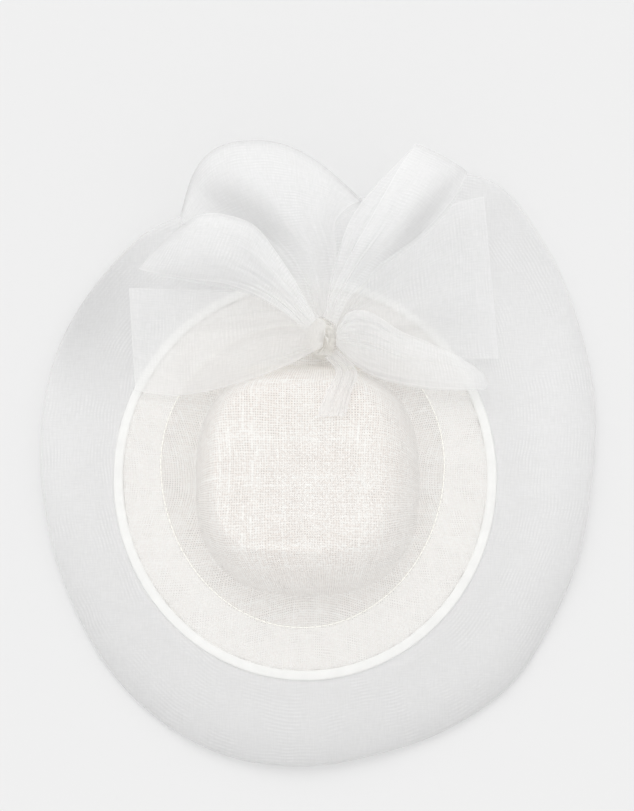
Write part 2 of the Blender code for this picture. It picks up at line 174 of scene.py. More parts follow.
def nearLine(points, start, end):
    # how far points are from a line seen from above, and how far along it, 0 to 1
    start, end = np.array(start), np.array(end)
    way = end - start
    share = np.clip(((points[..., :2] - start) @ way) / (way @ way), 0, 1)
    return reachOf(points[..., :2] - start - share[..., None] * way), share


def threads(add, across, along, pitch, wobble, widths, seed):
    # parallel threads of uneven width: how far one covers each point, its roundness, its tone and its slubs
    # threads stray over about 20 mm of their length, neighbours much alike
    drift = add("TexNoise", {
        "Vector": add("CombineXYZ", {
            "X": add("Math", (along, 45.0), operation="MULTIPLY"),
            "Y": add("Math", (across, 160.0, seed), operation="MULTIPLY_ADD"),
        }),
        "Scale": 1.0,
        "Detail": 1.0,
    }, noise_dimensions="2D")
    place = add("Math", (across, 1 / pitch, add("Math", (drift, wobble), operation="MULTIPLY")),
                operation="MULTIPLY_ADD")
    number = add("Math", (place,), operation="FLOOR")
    middle = add("Math", (add("Math", (place,), operation="FRACT"), 0.5), operation="SUBTRACT")
    middle = add("Math", (middle,), operation="ABSOLUTE")
    # slubs are about 7 mm long, and every thread has its own
    slub = add("TexNoise", {
        "Vector": add("CombineXYZ", {
            "X": add("Math", (along, 150.0), operation="MULTIPLY"),
            "Y": add("Math", (number, 7.7, seed), operation="MULTIPLY_ADD"),
        }),
        "Scale": 1.0,
        "Detail": 2.0,
    }, noise_dimensions="2D")
    tone = add("TexWhiteNoise", {"Vector": add("CombineXYZ", {"X": number, "Y": seed})},
               noise_dimensions="2D")
    body = add("Math", (tone, 0.25, add("Math", (slub, 0.8), operation="MULTIPLY")),
               operation="MULTIPLY_ADD")
    half = add("MapRange", (body, 0.28, 0.78, widths[0] / 2, widths[1] / 2))
    inside = add("Math", (half, middle), operation="SUBTRACT")
    cover = add("MapRange", (inside, -0.06, 0.06), interpolation_type="SMOOTHSTEP")
    return cover, inside, tone, slub


sinamayLook = {
    "light": "FFFEFB",      # bleached abaca thread
    "dark": "F3EDE8",       # thread that took up more stiffener
    "brim": "FBFAF8",       # the brim's cloth
    "pitch": 0.0015,        # threads 1.5 mm apart; the finest counted in the crown's tip are 1.3 mm apart
    "wander": 0.9,          # how far a thread strays from its place, in pitches
    "widths": (0.48, 0.86),  # thread's width as a share of the pitch, at its thinnest and at a slub
    "film": (0.51, 0.50, 0.82),  # how far stiffener and fuzz close the holes: tip, wall, lined brim
    "drawn": 0.14,          # share of the threads' cover that the wall loses
    "roughness": 0.72,      # dry straw
    "bump": 0.00022,        # threads stand this much out of the cloth
}


def makeSinamay(look):
    # stiffened open plain weave: uneven cream threads, small holes, dry low gloss
    material, add = emptyMaterial("sinamay_straw")
    flat = add("UVMap", uv_map="flat")
    parts = add("SeparateXYZ", (flat,)).node.outputs
    warp = threads(add, parts[0], parts[1], look["pitch"], look["wander"], look["widths"], 3.0)
    weft = threads(add, parts[1], parts[0], look["pitch"], look["wander"], look["widths"], 11.0)
    cover = add("Math", (warp[0], weft[0]), operation="MAXIMUM")
    # where both threads cross the cloth is double, and a little lighter
    crossing = add("Math", (warp[0], weft[0]), operation="MULTIPLY")
    blotch = add("TexNoise", {"Vector": flat, "Scale": 38.0, "Detail": 3.0})
    streak = add("Math", (add("Math", (warp[2], warp[3]), operation="MULTIPLY"),
                          add("Math", (weft[2], weft[3]), operation="MULTIPLY")), operation="ADD")
    light = add("Math", (crossing, 0.38, add("Math", (streak, 0.3, 0.12), operation="MULTIPLY_ADD")),
                operation="MULTIPLY_ADD")
    light = add("Math", (light, add("MapRange", (blotch, 0.35, 0.65, -0.12, 0.12))), operation="ADD")
    # now and then one thread is much brighter, and fuzz makes a fine grain
    for yarn in (warp, weft):
        bright = add("MapRange", (yarn[2], 0.86, 0.9))
        slubby = add("MapRange", (yarn[3], 0.5, 0.6, 0, 0.38))
        light = add("Math", (bright, slubby, light), operation="MULTIPLY_ADD")
    grain = add("TexNoise", {"Vector": flat, "Scale": 620.0, "Detail": 1.0})
    light = add("Math", (light, add("MapRange", (grain, 0.3, 0.7, -0.55, 0.55))), operation="ADD",
                use_clamp=True)
    colour = add("Mix", {0: light, 6: linear(look["dark"]), 7: linear(look["light"])}, out=2,
                 data_type="RGBA")
    # outside its stitches the brim has organza behind it and looks whiter and closer
    dense, lined = [add("Attribute", out="Fac", attribute_name=mark) for mark in ("dense", "lined")]
    colour = add("Mix", {
        0: add("Math", (lined, 0.3, add("Math", (dense, 0.4), operation="MULTIPLY")),
               operation="MULTIPLY_ADD"),
        6: colour,
        7: linear(look["brim"]),
    }, out=2, data_type="RGBA")
    # the wall's threads are drawn apart over the block, so more of the dark inside shows
    wall = add("Math", (dense, add("Math", (1.0, lined), operation="SUBTRACT")), operation="MULTIPLY")
    cover = add("Math", (cover, add("Math", (wall, -look["drawn"], 1.0), operation="MULTIPLY_ADD")),
                operation="MULTIPLY")
    height = add("Math", (warp[1], weft[1]), operation="MAXIMUM")
    bump = add("Bump", {
        "Strength": 0.9,
        "Distance": look["bump"],
        "Height": add("MapRange", (height, 0.0, 0.4)),
    })
    straw = add("BsdfPrincipled", {
        "Base Color": colour,
        "Roughness": add("MapRange", (light, 0, 1, look["roughness"] + 0.08, look["roughness"] - 0.1)),
        "IOR": 1.5,
        "Specular IOR Level": 0.35,
        "Sheen Weight": 0.15,
        "Normal": bump,
    })
    through = add("BsdfTranslucent", {"Color": colour, "Normal": bump})
    cloth = add("MixShader", (0.22, straw, through))
    clear = add("BsdfTransparent")
    film = add("Math", (add("MapRange", (dense, 0, 1, look["film"][0], look["film"][1])),
                        add("MapRange", (lined, 0, 1, 0, look["film"][2]))), operation="MAXIMUM")
    clot = add("TexNoise", {"Vector": flat, "Scale": 75.0, "Detail": 2.0})
    film = add("Math", (film, add("MapRange", (clot, 0.38, 0.56, 0.0, 0.24))), operation="ADD",
               use_clamp=True)
    shown = add("Math", (cover, film), operation="MAXIMUM")
    mixed = add("MixShader", (shown, clear, cloth))
    add("OutputMaterial", {"Surface": mixed})
    return material


organzaLook = {
    "colour": "FDFDFD",     # cool white polyester organza
    "shade": "DADADA",      # painted shade: grey mixed in where the cloth turns down, stands steep, folds on itself or lies lower
    "fine": 1300.0,         # real threads are 0.25 mm apart, drawn about 0.8 mm apart so that they show
    "long": 150.0,          # how fast a thread changes along its length
    "uneven": 0.065,        # how much more a thick thread covers
    "beat": 0.0021,         # two layers' threads make fine ribs about 2.1 mm apart
    "ribs": 0.020,          # how much those ribs cover
    "cover": 0.43,          # share of the light that the cloth stops
    "roughness": 0.42,      # smooth filament yarn
    "through": 0.45,        # share of what it stops that comes out behind
}


def makeOrganza(name, look):
    # sheer filament weave: thin, cool white, see-through, with rings where two layers' threads beat
    material, add = emptyMaterial(name)
    flat = add("UVMap", uv_map="flat")
    drift = add("TexNoise", {"Vector": flat, "Scale": 22.0, "Detail": 2.0})
    yarns = []
    for size in ((look["long"], look["fine"], 1), (look["fine"], look["long"], 1)):
        stretched = add("VectorMath", (flat, size), operation="MULTIPLY")
        yarns.append(add("TexNoise", {"Vector": stretched, "Scale": 1.0, "Detail": 1.5},
                         noise_dimensions="2D"))
    grain = add("Math", (add("Math", (yarns[0], yarns[1]), operation="ADD"), 1.0), operation="SUBTRACT")
    marks = ("ply", "hem", "fold", "seam")
    ply, hem, fold, seam = [add("Attribute", out="Fac", attribute_name=mark) for mark in marks]
    slow = add("Math", (ply, 2 * math.pi / look["beat"], add("Math", (drift, 26.0), operation="MULTIPLY")),
               operation="MULTIPLY_ADD")
    patch = add("TexNoise", {"Vector": flat, "Scale": 40.0, "Detail": 1.0})
    rings = add("Math", (add("Math", (slow,), operation="SINE"), add("MapRange", (patch, 0.44, 0.66))),
                operation="MULTIPLY")
    rings = add("Math", (rings, add("MapRange", (yarns[0], 0.3, 0.6, 0.2, 1.2))), operation="MULTIPLY")
    shown = add("Math", (grain, look["uneven"], look["cover"]), operation="MULTIPLY_ADD")
    shown = add("Math", (rings, look["ribs"], shown), operation="MULTIPLY_ADD")
    shown = add("Math", (hem, 0.07, shown), operation="MULTIPLY_ADD")
    # the seam allowance under the brim's edge is cloth folded on itself
    shown = add("Math", (seam, 0.42, shown), operation="MULTIPLY_ADD")
    # the fold mark gives a little more cover and mixes in the shade colour as painted shade
    shown = add("Math", (fold, 0.2, shown), operation="MULTIPLY_ADD", use_clamp=True)
    colour = add("Mix", {0: fold, 6: linear(look["colour"]), 7: linear(look["shade"])}, out=2,
                 data_type="RGBA")
    bump = add("Bump", {"Strength": 0.25, "Distance": 0.0001, "Height": grain})
    yarn = add("BsdfPrincipled", {
        "Base Color": colour,
        "Roughness": add("MapRange",
                         (grain, -0.4, 0.4, look["roughness"] - 0.08, look["roughness"] + 0.08)),
        "IOR": 1.55,
        "Specular IOR Level": 0.5,
        "Sheen Weight": 0.25,
        "Sheen Roughness": 0.4,
        "Normal": bump,
    })
    through = add("BsdfTranslucent", {"Color": colour, "Normal": bump})
    cloth = add("MixShader", (look["through"], yarn, through))
    clear = add("BsdfTransparent")
    mixed = add("MixShader", (shown, clear, cloth))
    add("OutputMaterial", {"Surface": mixed})
    return material


tapeLook = {
    "colour": "F1F1EF",     # bright white bias tape
    "rib": 0.0008,          # fine slanting weave, drawn coarser than its real 0.3 mm
    "roughness": 0.6,       # matt cotton blend
}


def makeTape(look):
    # dense cotton-blend bias tape: bright, matt, with a slanting weave
    material, add = emptyMaterial("bias_tape")
    flat = add("UVMap", uv_map="flat")
    parts = add("SeparateXYZ", (flat,)).node.outputs
    ribs = []
    for sign in (1, -1):
        slant = add("Math", (parts[1], sign, parts[0]), operation="MULTIPLY_ADD")
        turns = add("Math", (slant, 2 * math.pi / look["rib"]), operation="MULTIPLY")
        ribs.append(add("Math", (turns,), operation="SINE"))
    weave = add("Math", (ribs[0], ribs[1]), operation="ADD")
    dust = add("TexNoise", {"Vector": flat, "Scale": 120.0, "Detail": 3.0})
    value = add("Math", (weave, 0.01, add("MapRange", (dust, 0.3, 0.7, 0.97, 1.02))),
                operation="MULTIPLY_ADD")
    colour = add("HueSaturation", {"Value": value, "Color": linear(look["colour"])})
    bump = add("Bump", {
        "Strength": 0.3,
        "Distance": 0.0001,
        "Height": add("Math", (weave, dust), operation="ADD"),
    })
    tape = add("BsdfPrincipled", {
        "Base Color": colour,
        "Roughness": add("MapRange", (dust, 0.3, 0.7, look["roughness"] - 0.06, look["roughness"] + 0.06)),
        "IOR": 1.5,
        "Specular IOR Level": 0.3,
        "Sheen Weight": 0.2,
        "Normal": bump,
    })
    add("OutputMaterial", {"Surface": tape})
    return material


threadLook = {"colour": "FFFEF8", "twist": 260.0, "roughness": 0.45, "brightenerGlow": 0.03}


def makeThread(look):
    # spun polyester sewing thread: twisted, slightly shiny, with a faint glow, painted light for its optical
    # brightener, so it shows brighter than the straw
    material, add = emptyMaterial("sewing_thread")
    place = add("TexCoord", out="Object")
    twist = add("TexWave", {"Vector": place, "Scale": look["twist"], "Distortion": 1.0}, out="Fac",
                bands_direction="DIAGONAL")
    colour = add("HueSaturation", {
        "Value": add("MapRange", (twist, 0, 1, 0.96, 1.02)),
        "Color": linear(look["colour"]),
    })
    bump = add("Bump", {"Strength": 0.3, "Distance": 0.0001, "Height": twist})
    thread = add("BsdfPrincipled", {
        "Base Color": colour,
        "Roughness": add("MapRange", (twist, 0, 1, look["roughness"], look["roughness"] + 0.1)),
        "IOR": 1.5,
        "Sheen Weight": 0.2,
        "Normal": bump,
        # painted light: the thread glows a little
        "Emission Color": linear(look["colour"]),
        "Emission Strength": look["brightenerGlow"],
    })
    add("OutputMaterial", {"Surface": thread})
    return material


combLook = {"colour": "EFEBE0", "roughness": 0.22, "scuff": 220.0}


def makeComb(look):
    # moulded ivory plastic: glossy, with faint scuffs and slight milky depth
    material, add = emptyMaterial("comb_plastic")
    place = add("TexCoord", out="Object")
    scuff = add("TexNoise", {"Vector": place, "Scale": look["scuff"], "Detail": 4.0})
    colour = add("HueSaturation", {
        "Value": add("MapRange", (scuff, 0.3, 0.7, 0.97, 1.02)),
        "Color": linear(look["colour"]),
    })
    bump = add("Bump", {"Strength": 0.05, "Distance": 0.0002, "Height": scuff})
    plastic = add("BsdfPrincipled", {
        "Base Color": colour,
        "Roughness": add("MapRange", (scuff, 0.35, 0.7, look["roughness"], look["roughness"] + 0.12)),
        "IOR": 1.49,
        "Subsurface Weight": 0.15,
        "Subsurface Radius": (0.002, 0.0015, 0.001),
        "Subsurface Scale": 0.5,
        "Normal": bump,
    })
    add("OutputMaterial", {"Surface": plastic})
    return material


sinamayStraw = makeSinamay(sinamayLook)
brimOrganza = makeOrganza("brim_organza", dict(organzaLook, colour="FAFAFA", cover=0.50, ribs=0.030))
bowOrganza = makeOrganza("bow_organza", organzaLook)
# many layers on top of each other, so hardly see-through; its colour a little warmer, and its painted shade
# a warm grey
knotOrganza = makeOrganza("knotted_organza", dict(organzaLook, colour="FCFBF8", shade="DAD7D3", cover=0.78,
                                                  ribs=0.0, through=0.35))
biasTape = makeTape(tapeLook)
sewingThread = makeThread(threadLook)
combPlastic = makeComb(combLook)
print("materials made")

# the blocked base: crown and brim in one

hat = {
    # ovals: half sizes aside, back and front, the middle's x and y, squareness
    "tip": (0.052, 0.052, 0.052, -0.0025, -0.002, 3.2),
    "crown": (0.0675, 0.0705, 0.0705, 0.0015, -0.0025, 2.6),
    "bound": (0.115, 0.1225, 0.1225, 0, 0, 2),
    "stitch": (0.085, 0.08464, 0.09936, -0.0015, 0.008, 2),
    "crownHeight": 0.044,
    "brimFall": 0.0055,     # how much lower the bound edge lies than the crown's root
    "rootZ": 0.023,         # height of the crown's root above the floor
    "edgeZ": 0.0175,        # height of the bound edge
    "gap": 0.0003,          # clearance between one piece and the next
    "straw": 0.0012,        # thicknesses of the solids that the cloths stand for
    "tape": 0.0010,
    "organza": 0.001,
    "tapeWidth": 0.006,
}


def oval(shape, bearings, inset=0.0):
    side, back, front, x, y, power = shape
    c, s = np.cos(bearings), np.sin(bearings)
    length = np.where(s > 0, back, front) - inset
    reach = (np.abs(c / (side - inset)) ** power + np.abs(s / length) ** power) ** (-1 / power)
    return np.stack([x + reach * c, y + reach * s, 0 * c], -1)


base = {
    "around": 288,
    "rows": 112,
    # rings of the shape, as shares of the way out and of the height
    "tipRings": ((0.0, 1.0), (0.32, 1.0), (0.62, 0.988), (0.84, 0.955), (0.96, 0.915)),
    "wallRings": ((0, 0.88), (0.24, 0.78), (0.48, 0.61), (0.72, 0.36), (0.9, 0.12), (1, 0)),
    "brimRings": ((0.15, 0.02), (0.4, 0.18), (0.7, 0.52), (1, 1)),
    "dents": 0.0011,         # how far the blocked surface wanders
    # crease left by the block's front edge: from, to, height and width
    "tipFold": ((-0.045, -0.0500), (0.010, -0.0515), 0.0010, 0.0022),
    "cut": (0.27, 0.28),     # the straw cloth before it was blocked
}


def baseRings(bearings):
    tip, crown = oval(hat["tip"], bearings), oval(hat["crown"], bearings)
    edge = oval(hat["bound"], bearings, hat["tape"] + hat["gap"])
    middle = np.array([hat["tip"][3], hat["tip"][4], 0])
    rings = []
    for inner, outer, table, height in (
        (middle, tip, base["tipRings"], hat["crownHeight"]),
        (tip, crown, base["wallRings"], hat["crownHeight"]),
        (crown, edge, base["brimRings"], -hat["brimFall"]),
    ):
        for out, up in table:
            ring = inner + (outer - inner) * out
            ring[:, 2] = hat["rootZ"] + height * up
            rings.append(ring)
    return np.array(rings)


def brimHeight(points):
    bearings = np.arctan2(points[..., 1], points[..., 0])
    root = reachOf(oval(hat["crown"], bearings))
    edge = reachOf(oval(hat["bound"], bearings, hat["tape"] + hat["gap"]))
    out = (reachOf(points) - root) / (edge - root)
    table = ((0, 0),) + base["brimRings"]
    return hat["rootZ"] - hat["brimFall"] * np.interp(out, [r[0] for r in table], [r[1] for r in table])


def makeBase():
    bearings = allRound(base["around"])
    grid = eased(baseRings(bearings), np.linspace(0, 1, base["rows"]))
    step = np.linalg.norm(np.diff(grid, axis=0), axis=-1)
    run = np.concatenate([np.zeros((1, base["around"])), np.cumsum(step, axis=0)])
    # the cloth stretches on the bias, so a thread square is slanted between the four straight directions
    stretch = 1 - 0.10 * np.sin(2 * bearings) ** 2 * np.clip(run / 0.11, 0, 1)
    flat = np.stack([run * stretch * np.cos(bearings), run * stretch * np.sin(bearings)], -1)
    out = np.clip(run / run[-1].max(), 0, 1)
    wander = softNoise(grid, 0.028, 1) + 0.5 * softNoise(grid, 0.011, 2)
    grid[..., 2] += base["dents"] * wander * np.clip((1 - out) * 6, 0, 1)
    start, end, height, width = base["tipFold"]
    away, share = nearLine(grid, start, end)
    ends = np.sin(np.pi * np.clip(share, 0.02, 0.98)) ** 0.5
    high = np.clip((grid[..., 2] - 0.045) / 0.01, 0, 1)
    grid[..., 2] += height * np.exp(-(away / width) ** 2) * ends * high
    # where the threads are drawn apart on the wall, and where the sheer brim lies behind
    dense = np.clip((run - 0.050) / 0.04, 0, 1)
    aside = grid[..., :2] - hat["stitch"][3:5]
    seam = oval(hat["stitch"], np.arctan2(aside[..., 1], aside[..., 0]))[..., :2] - hat["stitch"][3:5]
    lined = np.clip((reachOf(aside) / reachOf(seam) - 1) / 0.01, 0, 1)
    piece = surfaceMesh("sinamay_hat", grid, flat, sinamayStraw, {"dense": dense, "lined": lined},
                        roundTrip=True, pole=True)
    placed(piece, "sinamay_base")
    return piece


sinamayHat = makeBase()
print("blocked base made, area", round(areaOf(sinamayHat), 4))

# bias tape folded round the brim's edge

binding = {
    "around": 420,
    "high": 0.0013,      # half the bound edge's thickness
    "pucker": 0.00012,   # slight waves where the tape is eased round the curve
    "puckers": 62,
    "cut": (0.0125, 0.755),
}


def makeBinding():
    # the join is at the back, under the bow
    bearings = np.linspace(0.5 * np.pi, 2.5 * np.pi, binding["around"] + 1)
    rings = baseRings(bearings)
    edge = rings[-1]
    out = edge - rings[-2]
    out /= np.linalg.norm(out, axis=1, keepdims=True)
    way = np.gradient(edge, axis=0)
    up = np.cross(out, way)
    up /= np.linalg.norm(up, axis=1, keepdims=True)
    high = binding["high"]
    back = hat["tape"] + hat["gap"] - hat["tapeWidth"]
    nose = hat["tape"] + hat["gap"]
    turns = np.linspace(np.pi / 2, -np.pi / 2, 11)
    # the tape's cross-section: out along the top, round the edge and back below
    section = [(back, 0.0001), (back + 0.0001, high * 0.5), (back + 0.0005, high * 0.9),
               (back + 0.0014, high), (back / 2, high)]
    section += [(nose * np.cos(t), high * np.sin(t)) for t in turns]
    section += [(x, -y) for x, y in section[4::-1]]
    section = np.array(section)
    run = np.concatenate([[0], np.cumsum(np.linalg.norm(np.diff(edge, axis=0), axis=1))])
    across = np.concatenate([[0], np.cumsum(np.linalg.norm(np.diff(section, axis=0), axis=1))])
    phase = binding["puckers"] * bearings + 1.3 * np.sin(3 * bearings)
    grid = []
    for x, y in section:
        fullness = np.clip(-x / 0.003, 0, 1) * binding["pucker"] * np.sin(phase) * np.sign(y)
        grid.append(edge + out * x + up * (y + fullness)[:, None])
    grid = np.array(grid)
    flat = np.stack(np.meshgrid(run, across), -1)
    piece = surfaceMesh("edge_binding", grid, flat, biasTape, {})
    placed(piece, "brim_binding")
    return piece


edgeBinding = makeBinding()
print("binding made, area", round(areaOf(edgeBinding), 4))

# sheer brim of doubled organza

sheer = {
    "around": 400,
    "reach": 0.175,
    "wave": 0.005,       # how high the rim lifts off the floor
    "fold": 0.002,       # how round the folded rim is
    "seam": 0.0008,      # space between the layers where they are sewn
    # reach and lift of the rim every 15 degrees round from +X, as shares of reach and wave
    "rim": ((0.99, 0.6), (1.04, 0.3), (1.10, 0.0), (1.18, 0.0), (1.24, 0.1), (1.05, 0.6),
            (0.97, 1.0), (1.00, 0.6), (1.04, 0.1), (1.01, 0.0), (0.98, 0.3), (0.94, 0.8),
            (0.91, 0.9), (0.90, 0.5), (0.91, 0.1), (0.94, 0.0), (0.97, 0.1), (0.99, 0.4),
            (0.99, 0.7), (0.98, 0.5), (0.99, 0.1), (1.00, 0.0), (0.98, 0.1), (0.98, 0.5)),
    # shares of the way out, of the fall to the rim and of the space between the two layers
    "falls": ((0.30, 0.24, 0.55), (0.62, 0.62, 0.90), (0.86, 0.90, 1.00)),
    "ripple": 0.0007,    # how high soft ripples stand
    # bearing, breadth and depth of extra painted shade near the rim
    "shades": ((2.45, 0.33, 0.58), (0.85, 0.35, 0.22), (3.25, 0.45, 0.07)),
    "cut": (0.50, 0.37),
}


def rimLine(bearings):
    keys = np.array(sheer["rim"])
    keys = np.concatenate([keys[-1:], keys, keys[:3]])
    place = (bearings / (2 * np.pi)) % 1 * len(sheer["rim"]) + 1
    value = eased(keys, place / (len(keys) - 1))
    return value[:, 0] * sheer["reach"], np.maximum(value[:, 1], 0) * sheer["wave"]


def makeSheerBrim():
    bearings = allRound(sheer["around"])
    reach, lift = rimLine(bearings)
    around = np.stack([np.cos(bearings), np.sin(bearings), 0 * bearings], -1)
    rim = around * (reach - hat["organza"] / 2 - sheer["fold"])[:, None]
    under = hat["straw"] / 2 + hat["gap"] + hat["organza"] / 2
    topIn = oval(hat["stitch"], bearings)
    topIn[:, 2] = brimHeight(topIn) - under
    tape = oval(hat["bound"], bearings, hat["tapeWidth"] + 2 * hat["gap"])
    tape[:, 2] = brimHeight(tape) - under - hat["tape"] - 2 * hat["gap"]
    bound = oval(hat["bound"], bearings)
    bound[:, 2] = hat["edgeZ"] - 0.8 * binding["high"]  # the cloth comes out right under the tape
    seam = sheer["seam"] + hat["organza"]
    rimZ = lift + sheer["fold"] + hat["organza"] / 2
    rows = [(topIn, seam), (tape, seam), (bound, 1.6 * seam)]
    for out, fall, space in sheer["falls"]:
        ring = bound + (rim - bound) * out
        ring[:, 2] = bound[:, 2] + (rimZ + sheer["fold"] - bound[:, 2]) * fall
        rows.append((ring, seam + (2 * sheer["fold"] - seam) * space))
    over = [ring for ring, space in rows] + [rim + upwards * (rimZ + sheer["fold"])[:, None]]
    below = [ring - upwards * space for ring, space in rows]
    below.append(rim + upwards * (rimZ - sheer["fold"])[:, None])
    over = eased(over, np.linspace(0, 1, 40))
    below = eased(below, np.linspace(0, 1, 30))[::-1]
    fold = []
    for turn in np.radians(np.linspace(90, -90, 9))[1:-1]:
        ring = rim + around * sheer["fold"] * np.cos(turn)
        ring[:, 2] = rimZ + sheer["fold"] * np.sin(turn)
        fold.append(ring)
    grid = np.concatenate([over, np.array(fold), below])
    # soft ripples that run out to the rim, stronger outside the hard brim
    loose = np.clip((reachOf(grid) / reachOf(bound) - 1.02) * 6, 0, 1)
    ripple = softNoise(around[None] * 0.16 + grid * 0.25, 0.012, 5) + 0.8 * softNoise(grid, 0.022, 6)
    level = grid[..., 2] + sheer["ripple"] * ripple * loose
    grid[..., 2] = np.maximum(level, hat["organza"] / 2)
    # the lower layer's threads lie at an angle of 3.6 degrees to the upper one's
    flat = grid[..., :2].copy()
    flat[len(over) + 4:] = flat[len(over) + 4:] @ np.array([[0.998, 0.062], [-0.062, 0.998]])
    # painted shade on the sheer brim, grey mixed in with a little more cover: towards the rim, most at its
    # very edge and at the front, away from the key light, and over the front half outside the hard brim
    toRim = reachOf(rim) - reachOf(grid)
    front = np.clip(0.5 - 0.5 * np.sin(bearings - 0.25), 0.1, 1)
    brimShade = 0.4 * np.clip(1 - toRim / 0.030, 0, 1) ** 1.5 * front
    brimShade = brimShade + 0.13 * np.clip(-np.sin(bearings), 0, 1) * loose
    brimShade = brimShade + 0.15 * np.exp(-np.clip(toRim, 0, 1) / 0.0025)
    for bearing, breadth, depth in sheer["shades"]:
        more = depth * np.exp(-((bearings - bearing) / breadth) ** 2)
        brimShade = np.maximum(brimShade, more * np.clip(1 - toRim / 0.06, 0, 1))
    outside = reachOf(grid) - reachOf(bound)
    allowance = np.exp(-np.clip(outside, 0, 1) / 0.0045) * (outside > -0.02)
    piece = surfaceMesh("organza_brim", grid, flat, brimOrganza,
                        {"hem": 0, "fold": brimShade, "ply": toRim, "seam": allowance}, roundTrip=True)
    placed(piece, "sheer_brim")
    return piece


organzaBrim = makeSheerBrim()
print("sheer brim made, area", round(areaOf(organzaBrim), 4))

# stitches that hold the sheer brim under the sinamay brim

stitches = {
    "length": 0.0036,
    "gap": 0.0001,
    "thick": 0.00036,    # half the thread's width
}


def makeStitches():
    line = oval(hat["stitch"], allRound(2000))
    straw = BVHTree.FromObject(sinamayHat, bpy.context.evaluated_depsgraph_get())
    for point in line:
        point[2] = straw.ray_cast(Vector(point + hatMiddle + 0.1 * upwards), Vector(-upwards))[0].z
    closed = np.concatenate([line, line[:1]])
    run = np.concatenate([[0], np.cumsum(np.linalg.norm(np.diff(closed, axis=0), axis=1))])
    pitch = stitches["length"] + stitches["gap"]
    count = int(run[-1] / pitch)
    points, faces = [], []
    for i in range(count):
        start = i * run[-1] / count
        at = start + stitches["length"] * np.linspace(0, 1, 6)
        spine = np.stack([np.interp(at, run, closed[:, k]) for k in range(3)], -1)
        spine[:, 2] += stitches["thick"] * np.array([-0.8, 0.7, 1.0, 1.0, 0.7, -0.8])
        thin = stitches["thick"] * np.array([0.65, 1, 1, 1, 1, 0.65])
        rod(points, faces, spine, [(t, 0.8 * t) for t in thin], 6)
    piece = addPiece("brim_stitches", np.array(points) + hatMiddle, faces, sewingThread)
    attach(piece, "root")


makeStitches()
print("stitches made")

# the bow

knotLow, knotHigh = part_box("knot")
bow = {
    "reach": 0.100,      # what the ribbons' reaches, rises and puffs are shares of
    "rise": 0.040,
    "puff": 0.012,
    "gather": 0.0045,    # half a gathered ribbon's width at the knot
    "gatherSpace": 0.002,
    "knot": (0.018, 0.026, 0.019),  # width, length and height of the knot
    "middle": (0.010, 0.0816, (knotLow.z + knotHigh.z) / 2),
    "across": 9,
    "leafRows": 7,
    "tailRows": 9,
}

# rows: left edge's bearing, reach and rise, the right edge's, puff, arch, lead and slip
# level: how high on the knot it starts; dim: painted shade over the whole ribbon, grey mixed in with a
# little more cover;
# endHem: the doubled strip at a tail's end
# folds: start and end seen from above, height, width, and where on a loop (1 its upper leaf, 0 both)
loopUpperLeft = {
    "rows": ((129, 0.52, 0.15, 78, 0.42, 0.30, 0.50, 0.12, 0.00, 0.00),
             (138, 0.87, 0.20, 83, 0.67, 0.50, 0.90, 0.25, 0.06, 0.00),
             (141, 1.07, 0.25, 75, 0.79, 0.55, 0.80, 0.35, 0.24, 0.00),
             (138, 1.13, 0.30, 73, 0.83, 0.55, 0.35, 0.35, 0.40, 0.00)),
    "level": 0.10, "loop": True, "width": 0.090, "pleats": 6, "dim": 0.08,
    "folds": (((-0.044, 0.190), (0.004, 0.128), 0.0050, 0.009, 1),
              ((-0.064, 0.172), (-0.014, 0.132), -0.0065, 0.010, 1),
              ((-0.010, 0.180), (0.008, 0.110), 0.0022, 0.006, 1),
              ((0.020, 0.165), (0.012, 0.105), -0.0020, 0.006, 1)),
    "cut": (0.090, 0.205),
}
loopLeft = {
    "rows": ((148, 0.36, 0.35, 119, 0.42, 0.60, 0.40, 0.05, 0.00, 0.00),
             (153, 0.64, 0.35, 124, 0.75, 0.75, 0.75, 0.15, 0.00, 0.00),
             (158, 0.92, 0.20, 135, 0.98, 0.60, 0.60, 0.15, 0.00, 0.00),
             (159, 1.18, 0.00, 141, 1.05, 0.35, 0.25, 0.05, 0.01, 0.00)),
    "level": 0.55, "loop": True, "width": 0.046, "pleats": 4, "dim": 0.0,
    "folds": (((-0.062, 0.135), (-0.040, 0.120), 0.0040, 0.012, 1),
              ((-0.055, 0.152), (-0.004, 0.098), 0.0025, 0.004, 1),
              ((-0.100, 0.118), (-0.060, 0.110), -0.0020, 0.004, 1)),
    "cut": (0.046, 0.205),
}
tailLeft = {
    "rows": ((222, 0.34, 0.55, 128, 0.36, -0.05, 0, 0.05, 0.00, 0.00),
             (209, 0.67, 0.35, 153, 0.66, -0.12, 0, 0.08, 0.00, 0.00),
             (201, 0.95, -0.10, 160, 0.94, -0.17, 0, 0.05, 0.00, 0.00),
             (195, 1.16, -0.20, 164, 1.21, -0.23, 0, 0.00, 0.00, 0.00)),
    "level": -0.30, "loop": False, "width": 0.068, "pleats": 7, "dim": 0.05, "endHem": 0.005,
    # its root's two ends, from the knot's middle
    "start": ((0.0005, -0.0065, 0.0094), (0.0030, 0.0075, 0.0083)),
    "folds": (((-0.085, 0.062), (-0.010, 0.080), 0.0022, 0.005, 0),
              ((-0.070, 0.092), (-0.008, 0.088), -0.0016, 0.005, 0),
              ((-0.060, 0.053), (-0.006, 0.073), 0.0016, 0.0035, 0)),
    "cut": (0.068, 0.118),
}
